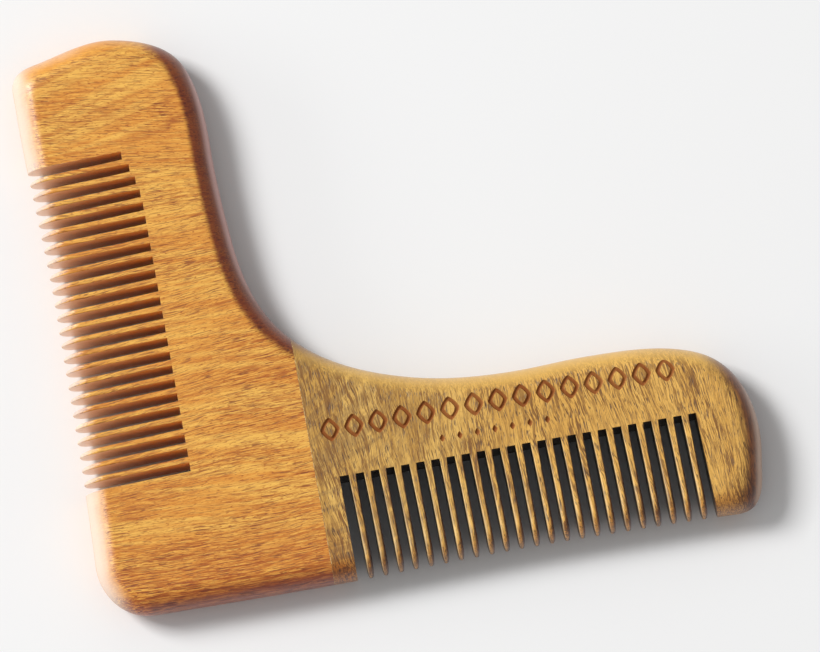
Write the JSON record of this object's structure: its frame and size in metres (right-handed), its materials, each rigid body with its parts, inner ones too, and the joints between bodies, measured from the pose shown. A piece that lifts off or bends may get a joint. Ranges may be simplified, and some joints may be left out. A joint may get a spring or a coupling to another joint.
{
  "type": "beard comb",
  "caption": "L-shaped wooden beard comb with two square-set tooth rows, a swept inner guide edge and a dowelled seam between its two boards.",
  "frame": {"origin": "centre of the outline, on the flat underside the comb lies on", "axes": "+X along the level arm's tooth row, from the seam to the nose; +Y along the upright arm's tooth row, away from the heel; +Z through the thickness, out of the engraved face"},
  "size_m": [0.122, 0.105, 0.01],
  "materials": {
    "honey_wood": "satin",
    "olive_wood": "satin",
    "wood_glue": "matt",
    "dowel_wood": "matt"
  },
  "bodies": {
    "root": {"upright_board": "honey_wood", "level_board": "olive_wood", "glue_line": "wood_glue", "dowel_upper": "dowel_wood", "dowel_lower": "dowel_wood"}
  },
  "joints": []
}
